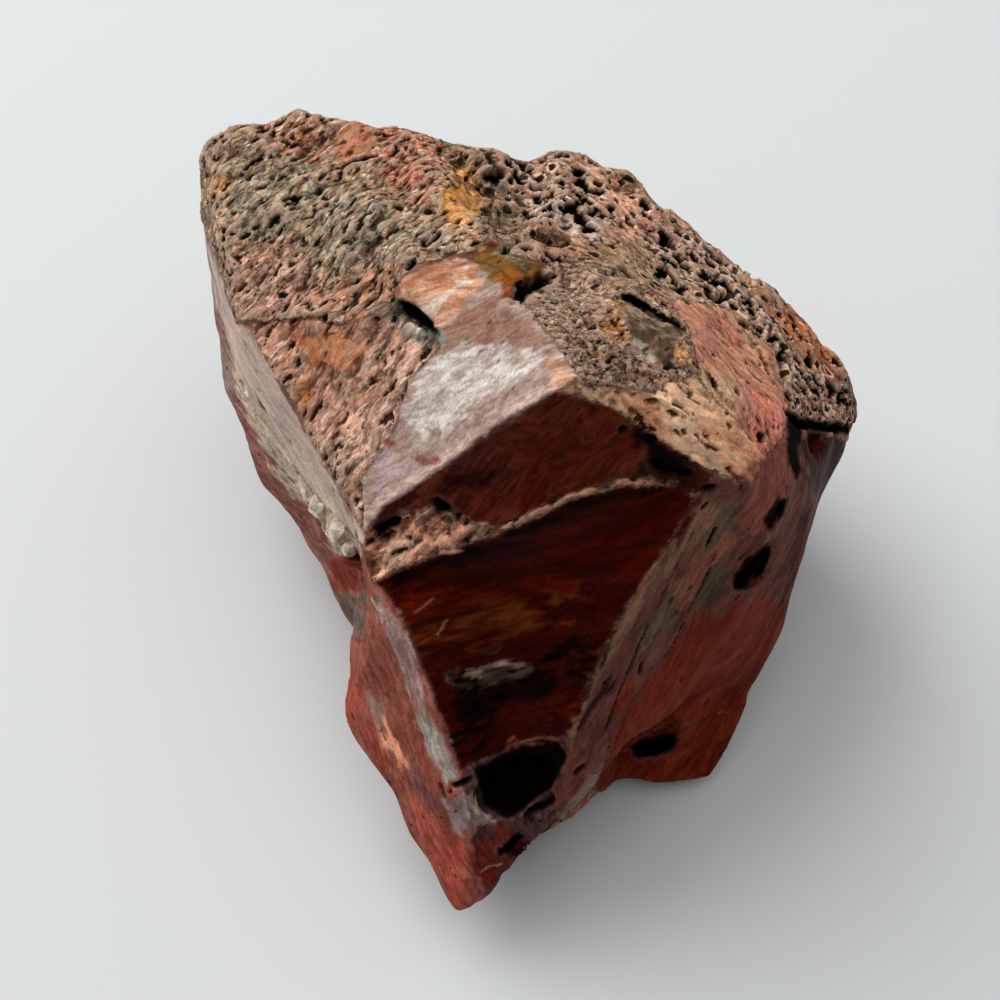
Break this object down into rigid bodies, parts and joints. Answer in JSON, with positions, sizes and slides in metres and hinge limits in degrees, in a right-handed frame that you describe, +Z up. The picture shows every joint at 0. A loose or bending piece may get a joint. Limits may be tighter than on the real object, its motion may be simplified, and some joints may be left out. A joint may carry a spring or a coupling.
{
  "type": "polychrome jasper",
  "caption": "Rough chunk of polychrome jasper: crusty plateau, bubbly shoulder and glassy scooped front over a pointed spur.",
  "frame": {"origin": "under the middle of the bounding box, on the flat spot that the stone rests on", "axes": "+Z up from the resting spot, +Y along the stone from its pointed spur to its back, +X to the right of that"},
  "size_m": [0.0474, 0.0522, 0.037],
  "materials": {
    "jasper": "waxy broken faces, matte crust"
  },
  "bodies": {
    "root": {"jasper": "jasper"}
  },
  "joints": []
}
